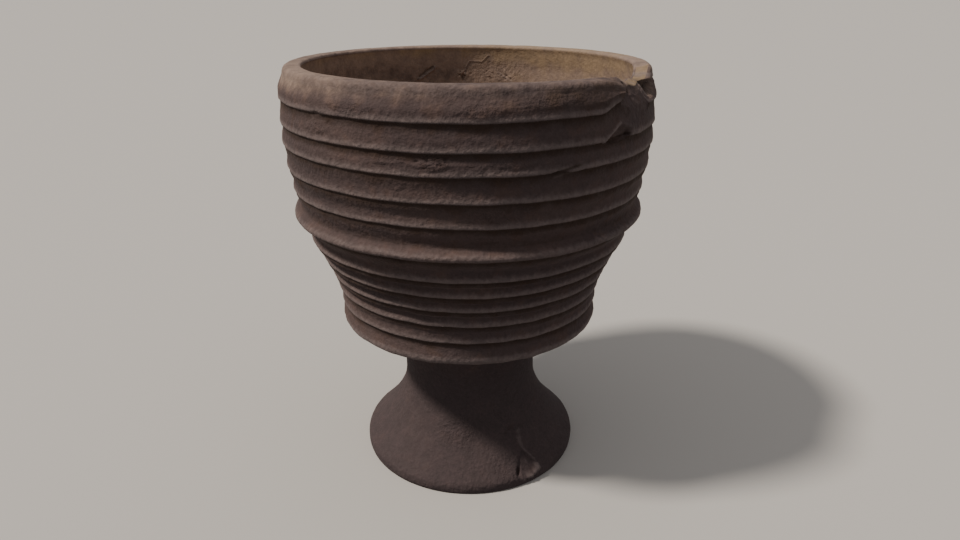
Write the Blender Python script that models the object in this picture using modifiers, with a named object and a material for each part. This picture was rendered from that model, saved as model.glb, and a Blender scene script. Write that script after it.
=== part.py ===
"""Clay chalice: a thrown and fired goblet with a ridged bowl on a hollow, flared foot.

Lengths are in metres and +Z is up. The origin is the centre of the foot's standing ring. The front is -Y,
and an azimuth is counted from the front towards +X. The bowl, the neck and the foot are one body of clay.
"""
import math
from dataclasses import dataclass

import bmesh
import bpy
from mathutils import Matrix, Vector

Point = tuple[float, float]

# Foot and neck
FOOT_RADIUS = 0.0424
FOOT_EDGE_HEIGHT = 0.0044
FOOT_EDGE_BULGE = 0.0009
FOOT_HEIGHT = 0.0310
FOOT_WALL = 0.0078
FLARE_POWER = 1.75
NECK_RADIUS = 0.0256
NECK_HEIGHT = 0.0160
NECK_FILLET = 0.0030
NECK_WALL = 0.0075

# Underside of the bowl, which slopes up from the neck to the bottom ridge
UNDERSIDE_RISE = 0.0080
BOTTOM_RIDGE_RADIUS = 0.0480
BOTTOM_RIDGE_ROUNDING = 0.0018

# Ridges of the bowl, from the bottom ridge up: distance from the axis, and height above the ridge below
LOWER_RIDGE_RADII = (0.0481, 0.0491, 0.0511, 0.0537, 0.0570)
LOWER_RIDGE_RISES = (0.0069, 0.0064, 0.0062, 0.0061, 0.0065)
BELLY_RIDGE_RADIUS = 0.0620
BELLY_RIDGE_RISE = 0.0091
UPPER_RIDGE_RADII = (0.0616, 0.0630, 0.0639, 0.0638, 0.0637)
UPPER_RIDGE_RISES = (0.0095, 0.0078, 0.0080, 0.0066, 0.0079)

# How far the wall steps in under each kind of ridge, and how far up and in its edge flares from the band above
LOWER_RIDGE_STEP = 0.0007
BELLY_RIDGE_STEP = 0.0026
UPPER_RIDGE_STEP = 0.0006
RIDGE_SHELF = 0.0007
FLARE_UP = 0.0021
FLARE_IN = 0.0003
BELLY_FLARE_UP = 0.0047
BELLY_FLARE_IN = 0.0024
# Where the flare bends most, as shares of how far it reaches up and in
FLARE_BEND_UP = 0.33
FLARE_BEND_IN = 0.25

# Rim above the top ridge, and the wall inside
RIM_HEIGHT = 0.0092
RIM_RADIUS = 0.0617
RIM_OUTER_ACROSS = 0.0017
RIM_OUTER_TALL = 0.0025
RIM_INNER_ROUNDING = 0.0010
BOWL_WALL = 0.0063
BOWL_FLOOR = 0.0078
FLOOR_FILLET = 0.0060

# Broken notch in the rim: the middle and width of its floor, how steeply its ends rise, and its turn in plan
NOTCH_AZIMUTH = math.radians(61.0)
NOTCH_DEPTH = 0.0034
NOTCH_FLOOR = 0.0150
NOTCH_NEAR_SLOPE = math.radians(60.0)
NOTCH_FAR_SLOPE = math.radians(35.0)
NOTCH_SKEW = math.radians(-30.0)

# Between which angles the roundings of the section run, in degrees from straight outwards
BOTTOM_RIDGE_TURN = (30.0, -70.0)
NECK_TURN = (110.0, 180.0)
FOOT_EDGE_TURN = (60.0, -90.0)
# How high the foot's hollow is domed, as a share of its radius
DOME_SHARE = 0.5

# Faces around the axis, and how finely curves are divided
TURN_STEPS = 48
FLARE_STEPS = 7
ARC_STEPS = 3
SCAR_DETAIL = 3
# How far a scar's cutter bulges, in times the scar's depth, and how far the notch's reaches past the wall
SCAR_BULGE = 2.0
CUT_MARGIN = 0.0080

CLAY_COLOUR = "#6E5A50"
CLAY_ROUGHNESS = 0.88


@dataclass(frozen=True)
class Ridge:
    """A turned ridge: where its edge stands, how its band flares out to it, and the wall's step under it."""
    radius: float
    height: float
    step: float
    flare_up: float
    flare_in: float


@dataclass(frozen=True)
class Scar:
    """A place where a flake of clay has come off: its middle, its size on the wall, its depth and its tilt."""
    name: str
    azimuth: float
    drop: float
    width: float
    tall: float
    depth: float
    tilt: float


# Flakes lost below the rim, measured down from the rim's top
RIM_SCARS = (
    Scar("spall_below_notch", math.radians(55.5), 0.0092, 0.0185, 0.0195, 0.0018, math.radians(12.0)),
    Scar("hollow_beside_notch", math.radians(68.5), 0.0070, 0.0130, 0.0096, 0.0023, 0.0),
    Scar("flake_on_second_ridge", math.radians(43.5), 0.0174, 0.0090, 0.0046, 0.0010, math.radians(-18.0)),
    Scar("nick_on_top_ridge", math.radians(-42.0), 0.0095, 0.0042, 0.0034, 0.0010, 0.0),
)
# Flake lost from the foot's edge, measured down from the foot's top
FOOT_SCAR = Scar("chip_on_foot", math.radians(34.0), 0.0278, 0.0100, 0.0080, 0.0014, 0.0)


def clear_scene() -> None:
    """Remove every object that the file holds."""
    for item in list(bpy.data.objects):
        bpy.data.objects.remove(item, do_unlink=True)


def new_collection(name: str) -> bpy.types.Collection:
    """Make a collection in the scene."""
    collection = bpy.data.collections.new(name)
    bpy.context.scene.collection.children.link(collection)
    return collection


def linear_colour(code: str) -> tuple[float, float, float, float]:
    """Turn an sRGB hex code into linear values with full opacity."""
    channels = [int(code[i:i + 2], 16) / 255 for i in (1, 3, 5)]
    red, green, blue = [c / 12.92 if c <= 0.04045 else ((c + 0.055) / 1.055) ** 2.4 for c in channels]
    return red, green, blue, 1.0


def clay_material() -> bpy.types.Material:
    """Dull, dark brown fired clay."""
    material = bpy.data.materials.new("fired_clay")
    material.use_nodes = True
    shader = material.node_tree.nodes["Principled BSDF"]
    shader.inputs["Base Color"].default_value = linear_colour(CLAY_COLOUR)
    shader.inputs["Roughness"].default_value = CLAY_ROUGHNESS
    shader.inputs["Metallic"].default_value = 0.0
    return material


def neck_top() -> float:
    """Height at which the neck meets the bowl's underside."""
    return FOOT_HEIGHT + NECK_HEIGHT


def bowl_ridges() -> list[Ridge]:
    """All ridges above the bottom one, from the lowest up."""
    ridges = []
    height = neck_top() + NECK_FILLET + UNDERSIDE_RISE + BOTTOM_RIDGE_ROUNDING
    groups = (
        (LOWER_RIDGE_RADII, LOWER_RIDGE_RISES, LOWER_RIDGE_STEP, FLARE_UP, FLARE_IN),
        ((BELLY_RIDGE_RADIUS,), (BELLY_RIDGE_RISE,), BELLY_RIDGE_STEP, BELLY_FLARE_UP, BELLY_FLARE_IN),
        (UPPER_RIDGE_RADII, UPPER_RIDGE_RISES, UPPER_RIDGE_STEP, FLARE_UP, FLARE_IN),
    )
    for radii, rises, step, flare_up, flare_in in groups:
        for radius, rise in zip(radii, rises):
            height += rise
            ridges.append(Ridge(radius, height, step, flare_up, flare_in))
    return ridges


def total_height() -> float:
    """Height of the rim's top above the standing ring."""
    return bowl_ridges()[-1].height + RIM_HEIGHT


def arc(centre: Point, across: float, tall: float, start: float, end: float) -> list[Point]:
    """Points on a round or flattened arc of the section, from one angle in degrees to another."""
    points = []
    for step in range(ARC_STEPS + 1):
        angle = math.radians(start + (end - start) * step / ARC_STEPS)
        points.append((centre[0] + across * math.cos(angle), centre[1] + tall * math.sin(angle)))
    return points


def rim_inner_edge() -> list[Point]:
    """The tight rounding from the bowl's inside to the rim's top."""
    centre = (RIM_RADIUS - BOWL_WALL + RIM_INNER_ROUNDING, total_height() - RIM_INNER_ROUNDING)
    return arc(centre, RIM_INNER_ROUNDING, RIM_INNER_ROUNDING, 180, 90)


def rim_outer_edge() -> list[Point]:
    """The softer rounding from the rim's top to its outer side."""
    centre = (RIM_RADIUS - RIM_OUTER_ACROSS, total_height() - RIM_OUTER_TALL)
    return arc(centre, RIM_OUTER_ACROSS, RIM_OUTER_TALL, 90, 0)


def ridge_outline(ridge: Ridge) -> list[Point]:
    """A ridge's flared edge and the shelf under it, from the top down."""
    return [
        (ridge.radius - ridge.flare_in, ridge.height + ridge.flare_up),
        (ridge.radius - ridge.flare_in * FLARE_BEND_IN, ridge.height + ridge.flare_up * FLARE_BEND_UP),
        (ridge.radius, ridge.height),
        (ridge.radius - ridge.step, ridge.height - RIDGE_SHELF),
    ]


def bowl_outline() -> list[Point]:
    """The bowl's outer side from the top ridge down to the neck."""
    points = []
    for ridge in reversed(bowl_ridges()):
        points += ridge_outline(ridge)
    rounding = BOTTOM_RIDGE_ROUNDING
    bottom_centre = (BOTTOM_RIDGE_RADIUS - rounding, neck_top() + NECK_FILLET + UNDERSIDE_RISE + rounding)
    points += arc(bottom_centre, rounding, rounding, *BOTTOM_RIDGE_TURN)
    points += arc((NECK_RADIUS + NECK_FILLET, neck_top()), NECK_FILLET, NECK_FILLET, *NECK_TURN)
    return points


def foot_edge() -> list[Point]:
    """The foot's bulged edge, from the flare down to the standing ring."""
    centre = (FOOT_RADIUS - FOOT_EDGE_BULGE, FOOT_EDGE_HEIGHT / 2)
    return arc(centre, FOOT_EDGE_BULGE, FOOT_EDGE_HEIGHT / 2, *FOOT_EDGE_TURN)


def flare_point(step: int) -> Point:
    """A point on the foot's flare, counted from the neck down."""
    edge_radius, edge_height = foot_edge()[0]
    share = step / FLARE_STEPS
    radius = NECK_RADIUS + (edge_radius - NECK_RADIUS) * share ** FLARE_POWER
    return radius, FOOT_HEIGHT - (FOOT_HEIGHT - edge_height) * share


def foot_outline() -> list[Point]:
    """The foot's outer side from the neck down to the standing ring."""
    return [flare_point(step) for step in range(FLARE_STEPS)] + foot_edge()


def foot_hollow() -> list[Point]:
    """The hollow under the foot, from the standing ring up to its domed top on the axis."""
    hollow_radius = NECK_RADIUS - NECK_WALL
    points = [(FOOT_RADIUS - FOOT_WALL, 0.0)]
    for step in range(FLARE_STEPS - 1, 0, -1):
        radius, height = flare_point(step)
        wall = NECK_WALL + (FOOT_WALL - NECK_WALL) * step / FLARE_STEPS
        points.append((max(radius - wall, hollow_radius), height))
    dome_rise = hollow_radius * DOME_SHARE
    points += arc((0.0, neck_top() - dome_rise), hollow_radius, dome_rise, 0, 90)[:-1]
    points.append((0.0, neck_top()))
    return points


def bowl_hollow() -> list[Point]:
    """The bowl's inside, from its floor on the axis up to just below the rim."""
    neck_inner = NECK_RADIUS - NECK_WALL
    floor_height = neck_top() + BOWL_FLOOR
    slope = UNDERSIDE_RISE / (BOTTOM_RIDGE_RADIUS - NECK_RADIUS)
    wall_radius = BOTTOM_RIDGE_RADIUS - BOTTOM_RIDGE_ROUNDING - BOWL_WALL
    corner_height = floor_height + slope * (wall_radius - neck_inner)
    points = [(0.0, floor_height), (neck_inner, floor_height)]
    lean = math.degrees(math.atan(slope))
    fillet_centre = (wall_radius - FLOOR_FILLET, corner_height + FLOOR_FILLET)
    points += arc(fillet_centre, FLOOR_FILLET, FLOOR_FILLET, lean - 90, 0)
    for ridge in bowl_ridges():
        if ridge.height > points[-1][1] + BOWL_WALL:
            points.append((ridge.radius - ridge.step - BOWL_WALL, ridge.height))
    return points


def chalice_section() -> list[Point]:
    """The whole section: up the inside of the bowl, over the rim, down the outside and up into the foot."""
    rim = rim_inner_edge() + rim_outer_edge()
    return bowl_hollow() + rim + bowl_outline() + foot_outline() + foot_hollow()


def outer_radius(height: float) -> float:
    """Radius of the outer side at a height."""
    side = rim_outer_edge() + bowl_outline() + foot_outline()
    for upper, lower in zip(side, side[1:]):
        if lower[1] <= height < upper[1]:
            share = (height - lower[1]) / (upper[1] - lower[1])
            return lower[0] + (upper[0] - lower[0]) * share
    return FOOT_RADIUS


def turned_body(collection: bpy.types.Collection, material: bpy.types.Material) -> bpy.types.Object:
    """Turn the section about the axis."""
    mesh = bpy.data.meshes.new("chalice")
    form = bmesh.new()
    corners = [form.verts.new((radius, 0.0, height)) for radius, height in chalice_section()]
    for first, second in zip(corners, corners[1:]):
        form.edges.new((first, second))
    form.to_mesh(mesh)
    form.free()
    mesh.materials.append(material)
    body = bpy.data.objects.new("chalice", mesh)
    collection.objects.link(body)
    screw = body.modifiers.new("turning", "SCREW")
    screw.axis = "Z"
    screw.angle = 2 * math.pi
    screw.steps = TURN_STEPS
    screw.render_steps = TURN_STEPS
    screw.use_merge_vertices = True
    screw.merge_threshold = 0.00001
    screw.use_smooth_shade = True
    return body


def wall_frame(azimuth: float, radius: float, height: float) -> Matrix:
    """A frame on the wall: X runs along it, Y points inwards and Z is up."""
    turn = Matrix.Rotation(azimuth, 4, "Z")
    return turn @ Matrix.Translation(Vector((0.0, -radius, height)))


def new_cutter(name: str, form: bmesh.types.BMesh, collection: bpy.types.Collection) -> bpy.types.Object:
    """Make a hidden object that only serves to cut."""
    mesh = bpy.data.meshes.new(name)
    form.to_mesh(mesh)
    form.free()
    cutter = bpy.data.objects.new(name, mesh)
    cutter.hide_render = True
    cutter.display_type = "WIRE"
    collection.objects.link(cutter)
    return cutter


def scar_cutter(scar: Scar, height: float, collection: bpy.types.Collection) -> bpy.types.Object:
    """A flat ellipsoid that takes a shallow shell off the wall, as wide and tall as the scar."""
    bulge = SCAR_BULGE * scar.depth
    spread = math.sqrt(1 - (1 - scar.depth / bulge) ** 2)
    size = (scar.width / 2 / spread, bulge, scar.tall / 2 / spread)
    form = bmesh.new()
    bmesh.ops.create_icosphere(form, subdivisions=SCAR_DETAIL, radius=1.0)
    bmesh.ops.scale(form, vec=size, verts=form.verts)
    cutter = new_cutter(scar.name, form, collection)
    middle = wall_frame(scar.azimuth, outer_radius(height) + bulge - scar.depth, height)
    cutter.matrix_world = middle @ Matrix.Rotation(scar.tilt, 4, "Y")
    return cutter


def notch_cutter(collection: bpy.types.Collection) -> bpy.types.Object:
    """A block through the wall with sloping ends, whose underside is the floor of the notch in the rim."""
    rise = NOTCH_DEPTH + CUT_MARGIN
    depth = BOWL_WALL + 2 * CUT_MARGIN
    near_end = (-NOTCH_FLOOR / 2, 0.0)
    far_end = (NOTCH_FLOOR / 2, 0.0)
    near_top = (near_end[0] - rise / math.tan(NOTCH_NEAR_SLOPE), rise)
    far_top = (far_end[0] + rise / math.tan(NOTCH_FAR_SLOPE), rise)
    corners = (near_end, far_end, far_top, near_top)
    form = bmesh.new()
    face = form.faces.new([form.verts.new((across, -depth / 2, up)) for across, up in corners])
    swept = bmesh.ops.extrude_face_region(form, geom=[face])["geom"]
    far_side = [item for item in swept if isinstance(item, bmesh.types.BMVert)]
    bmesh.ops.translate(form, vec=(0.0, depth, 0.0), verts=far_side)
    bmesh.ops.recalc_face_normals(form, faces=form.faces)
    cutter = new_cutter("rim_notch", form, collection)
    skew = Matrix.Rotation(NOTCH_SKEW, 4, "Z")
    middle = RIM_RADIUS - BOWL_WALL / 2
    cutter.matrix_world = wall_frame(NOTCH_AZIMUTH, middle, total_height() - NOTCH_DEPTH) @ skew
    return cutter


def cut(body: bpy.types.Object, cutter: bpy.types.Object) -> None:
    """Take a cutter's volume away from the body."""
    boolean = body.modifiers.new(cutter.name, "BOOLEAN")
    boolean.operation = "DIFFERENCE"
    boolean.solver = "EXACT"
    boolean.object = cutter


def main() -> None:
    """Build the chalice."""
    clear_scene()
    parts = new_collection("clay_chalice")
    cutters = new_collection("cutters")
    body = turned_body(parts, clay_material())
    cut(body, notch_cutter(cutters))
    for scar in RIM_SCARS:
        cut(body, scar_cutter(scar, total_height() - scar.drop, cutters))
    cut(body, scar_cutter(FOOT_SCAR, FOOT_HEIGHT - FOOT_SCAR.drop, cutters))


main()
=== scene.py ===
"""The clay chalice, dressed: its ridges, chips, pits and stains, and the fired clay it is made of.

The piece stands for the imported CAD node. Sizes are in millimetres until a mesh or a shader takes them, and an
azimuth is counted in degrees from the front, -Y, towards +X.
"""
import logging
import math
import random
from dataclasses import dataclass, field
from enum import Enum

import bmesh
import bpy
import numpy as np
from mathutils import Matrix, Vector, noise
from mathutils.kdtree import KDTree


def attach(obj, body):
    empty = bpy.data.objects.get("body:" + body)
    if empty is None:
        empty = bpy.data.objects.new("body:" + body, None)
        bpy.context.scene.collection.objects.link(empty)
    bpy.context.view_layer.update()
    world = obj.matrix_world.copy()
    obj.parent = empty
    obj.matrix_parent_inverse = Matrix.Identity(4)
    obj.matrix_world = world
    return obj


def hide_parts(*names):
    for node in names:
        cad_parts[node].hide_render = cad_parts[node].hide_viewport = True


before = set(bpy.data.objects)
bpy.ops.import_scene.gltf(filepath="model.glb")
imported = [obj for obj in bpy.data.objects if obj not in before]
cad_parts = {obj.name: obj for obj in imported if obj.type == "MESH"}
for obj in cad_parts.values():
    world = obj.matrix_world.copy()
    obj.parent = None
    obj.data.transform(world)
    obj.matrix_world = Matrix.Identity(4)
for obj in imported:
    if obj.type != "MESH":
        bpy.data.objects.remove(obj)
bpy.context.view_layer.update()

log = logging.getLogger("clay_chalice")
MM = 0.001
FAR = 1e9
TINY = 1e-9
# What can have happened to the clay at a place, and its painted highlight and shade, each a share the finish
# reads
MARKS = ("worn_and_highlight", "hollow", "broken", "pitted", "scuffed", "smoked", "stained")
Colour = tuple[float, float, float, float]
Span = tuple[float, float]
Line = tuple[tuple[float, float], ...]
# Points of an edge: how far out, how much more for each millimetre of its step, how far up, how worn, with a
# painted highlight, and how dark with soil and painted shade
Profile = tuple[tuple[float, float, float, float, float], ...]


class Side(Enum):
    """Which face of the wall a row of the section belongs to."""
    INSIDE = 0
    RIM = 1
    OUTSIDE = 2
    UNDER = 3


@dataclass(frozen=True)
class Row:
    """One point of the turned section: where it is, its side, its wear and highlight, and its dirt and painted
    shade.
    """
    radius: float
    height: float
    side: Side
    worn_and_highlight: float = 0.0
    hollow: float = 0.0


@dataclass(frozen=True)
class Lip:
    """The raised edge of a turned ridge, and how far the wall steps in under it."""
    radius: float
    height: float
    step: float = 0.50


@dataclass(frozen=True)
class Scar:
    """A place where clay has come off: its outline as azimuths and heights, its depth and how its edge falls.

    An old scar has gone as dark as the wall, and a smoked one as the foot. An arris is the sharp edge left round
    it, rubbed pale, with a painted highlight. Earthy is how much ochre earth has stayed in it, and its deep part
    is painted darker by a share, for dirt and painted shade. Lean is how much deeper it grows for each
    millimetre up.
    """
    outline: Line
    depth: float
    edge: float = 0.8
    rough: float = 0.12
    ragged: float = 0.3
    old: float = 0.0
    smoked: float = 0.0
    arris: float = 0.5
    earthy: float = 0.0
    painted_dark: float = 0.0
    lean: float = 0.0


@dataclass(frozen=True)
class Curl:
    """A stretch of a lip that curls up and flattens towards one end, with the wall below and above it.

    Lip is half the lip's thickness. Fade is how many degrees past its end the curl starts and ends to fade, and
    sharp is over how many before its end its edge is less and less rubbed.
    """
    azimuths: Span
    height: float
    rise: float
    flattened: float
    below: float = 4.5
    above: float = 7.5
    lip: float = 0.8
    fade: Span = (1.5, 7.0)
    sharp: float = 2.0


@dataclass(frozen=True)
class Dent:
    """A pit or knock, or a lump where its depth is negative, with a sharp or a soft edge."""
    azimuth: float
    height: float
    width: float
    tall: float
    depth: float
    tilt: float = 0.0
    edge: float = 0.3
    side: Side = Side.OUTSIDE


@dataclass(frozen=True)
class Groove:
    """A crack or a gouge along a line of azimuths and heights, with a burr of clay beside it.

    Where its depth is negative it is a raised arris. Shown is how dark its dirt and painted shade are, or how
    pale its arris, with a painted highlight.
    """
    line: Line
    width: float
    depth: float
    burr: float = 0.0
    shown: float = 1.0
    side: Side = Side.OUTSIDE


@dataclass(frozen=True)
class PitPatch:
    """A patch where grit has fallen out of the clay and left small pits, with small lumps between them.

    Reach is how far the scuffed blot under the pits goes, in times the patch's width and height, core its even
    middle, and scuffing how strong it is for its depth. Spread, sizes and depths are the pits', as shares of the
    patch's own. Lump turns a depth into a lump's, turn is how far a pit may tilt, and long is its width for its
    height.
    """
    azimuth: float
    height: float
    width: float
    tall: float
    count: int
    largest: float
    depth: float
    seed: int
    raised: float = 0.3
    side: Side = Side.OUTSIDE
    reach: Span = (0.62, 0.75)
    core: float = 0.45
    scuffing: float = 2.5
    spread: float = 0.28
    sizes: Span = (0.5, 1.0)
    depths: Span = (0.4, 1.0)
    lump: float = -0.5
    turn: float = 40.0
    long: float = 1.5
    edge: float = 0.1


@dataclass(frozen=True)
class FineArea:
    """An area that is divided more finely for its small marks, between two depths in from the outer side."""
    azimuths: Span
    heights: Span
    cuts: int
    depths: Span = (-1.0, 3.2)

    def covers(self, azimuth: float, height: float, depth: float) -> bool:
        """Whether a place is in the area.

        Args:
            azimuth: The place's azimuth.
            height: Its height.
            depth: How far in from the outer side it is.

        Returns:
            True where it is.
        """
        low, high = self.azimuths
        in_reach = (azimuth - low) % 360.0 < high - low and self.heights[0] < height < self.heights[1]
        return in_reach and self.depths[0] < depth < self.depths[1]


@dataclass(frozen=True)
class Lumps:
    """Smooth unevenness: how wide its lumps are, how far they rise, and a shift that sets it apart."""
    size: float
    rise: float
    shift: float

    def over(self, points: np.ndarray) -> np.ndarray:
        """How far the lumps rise or fall at each of some places in millimetres."""
        places = (points / self.size + self.shift).tolist()
        return self.rise * np.array([noise.noise(place) for place in places])


@dataclass(frozen=True)
class Earth:
    """Ochre earth on one side, at the back painted light: its middle, where its fading starts and ends, and how
    strong it is.
    """
    azimuth: float
    near: float
    far: float
    on_rim: float
    inside: float = 0.0


@dataclass(frozen=True)
class Wear:
    """How uneven the thrown clay is, how its breaks run out and where its stains lie."""
    # Thrown by hand: the wall isn't quite round, the lips wander, and the foot and the rim stay level
    out_of_round: Lumps = Lumps(45.0, 0.26, 3.7)
    wander: Lumps = Lumps(26.0, 0.34, 8.1)
    wander_radius: float = 40.0
    lip_wander: Lumps = Lumps(8.0, 0.22, 4.4)
    lip_radius: float = 60.0
    lip_stretch: float = 0.5
    round_within: float = 20.0
    level_foot: Span = (6.0, 12.0)
    level_rim: Span = (146.0, 150.0)
    axis_within: float = 4.0
    # The lips are rubbed down, here more and there less
    rubbing: Lumps = Lumps(5.0, 1.0, 2.9)
    rubbed_everywhere: float = 0.15
    rubbed_off: float = 0.36
    # The broken rim: down to which height the wall sinks with it, how much has to be lost until it is a break,
    # how uneven that is, how tall the rim's edge is, between which azimuths the break begins to lie bare, how
    # much darker it is painted there, and the hair's breadth that tells the rim's flat from its roundings
    sink_inside: float = 125.0
    sink_outside: float = 142.4
    lost: Span = (0.5, 1.6)
    break_lumps: tuple[Lumps, ...] = (Lumps(3.0, 0.45, 9.4), Lumps(1.4, 0.30, 3.3))
    edge_tall: float = 1.3
    bare: Span = (51.0, 56.0)
    bare_darkening: float = 0.40
    hair: float = 0.01
    # A scar: its ragged outline, its rough face, its least depth, and how far its marks run
    scar_outline: Lumps = Lumps(2.2, 1.0, 4.2)
    scar_face: tuple[Lumps, ...] = (Lumps(3.4, 1.0, 7.1), Lumps(1.5, 0.6, 2.2))
    scar_least: float = 0.2
    scar_start: float = 0.8
    scar_taken: Span = (0.05, 0.5)
    scar_stain: Span = (-0.5, 1.5)
    arris_out: float = 0.25
    arris_width: float = 0.45
    # How much of a mark a millimetre of dent leaves, and a groove's burr, whose pale mark is a painted highlight
    dent_mark: float = 1.5
    groove_band: float = 2.0
    burr_away: float = 1.5
    burr_highlight: float = 0.9
    # The clay's own skin, which is flat where it stands, and the most that the object measures
    skin: tuple[Lumps, ...] = (Lumps(9.0, 0.09, 1.3), Lumps(3.8, 0.07, 6.1), Lumps(2.1, 0.05, 7.7))
    standing: Span = (0.3, 2.0)
    widest: float = 63.88
    tallest: float = 149.97
    # Ochre earth at the right and left, all over the rim and inside; at the back and high inside also painted
    # light
    earth: tuple[Earth, ...] = (
        Earth(130.0, 10.0, 80.0, 0.78, 0.35), Earth(-70.0, 10.0, 60.0, 0.35), Earth(180.0, 30.0, 90.0, 0.40),
    )
    earth_on_rim: float = 0.22
    earth_and_light_inside: float = 0.45
    painted_light_under_rim: float = 0.40
    under_rim: Span = (140.0, 149.0)
    rim_band: Span = (142.0, 148.0)
    earth_cloud: Lumps = Lumps(11.0, 0.225, 12.2)
    earth_mean: float = 0.975
    earth_on_break: float = 1.3
    # Painted shade darkens the rim's front right
    painted_shade_azimuth: float = 34.0
    painted_shade_width: float = 22.0
    painted_shade_strength: float = 0.48
    painted_shade_foot: Span = (141.0, 143.0)
    painted_shade_top: Span = (148.0, 149.6)
    # Smoke has darkened the foot up to the bowl
    smoke: Span = (34.0, 54.0)


def linear(code: str) -> Colour:
    """Turn an sRGB hex code into linear values.

    Args:
        code: Six hex digits after a hash sign.

    Returns:
        Red, green, blue and full opacity.
    """
    parts = [int(code[i:i + 2], 16) / 255 for i in (1, 3, 5)]
    red, green, blue = [c / 12.92 if c <= 0.04045 else ((c + 0.055) / 1.055) ** 2.4 for c in parts]
    return red, green, blue, 1.0


def add_node(
        tree: bpy.types.NodeTree, kind: str, links: dict | None = None, **settings: object) -> bpy.types.Node:
    """Add a node with its settings and links.

    Args:
        tree: The node tree of a material or of the world.
        kind: The node's type.
        links: For each input, by name or number, an output to link or a value to set.
        settings: The node's own properties.

    Returns:
        The node.
    """
    node = tree.nodes.new(kind)
    for name, value in settings.items():
        setattr(node, name, value)
    for key, value in (links or {}).items():
        if isinstance(value, bpy.types.NodeSocket):
            tree.links.new(value, node.inputs[key])
        else:
            node.inputs[key].default_value = value
    return node


def deselect() -> None:
    """Leave object mode with nothing selected."""
    if bpy.context.object is not None and bpy.context.object.mode != "OBJECT":
        bpy.ops.object.mode_set(mode="OBJECT")
    bpy.ops.object.select_all(action="DESELECT")


def heaped(layers: tuple[Lumps, ...], points: np.ndarray) -> np.ndarray:
    """The sum of several layers of lumps at each of some places in millimetres."""
    return sum(layer.over(points) for layer in layers)


def smooth(low: float, high: float, value: np.ndarray) -> np.ndarray:
    """Rise smoothly from 0 at low to 1 at high."""
    share = np.clip((value - low) / (high - low), 0.0, 1.0)
    return share * share * (3.0 - 2.0 * share)


def around(azimuth: np.ndarray | float, middle: float) -> np.ndarray | float:
    """How far an azimuth is from a middle, in degrees from -180 to 180."""
    return (azimuth - middle + 180.0) % 360.0 - 180.0


def arc(centre: Span, across: float, tall: float, angles: tuple[float, ...]) -> Line:
    """Points on a round or flattened arc of the section, at angles in degrees from straight outwards."""
    turns = [math.radians(angle) for angle in angles]
    return tuple((centre[0] + across * math.cos(turn), centre[1] + tall * math.sin(turn)) for turn in turns)


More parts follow.
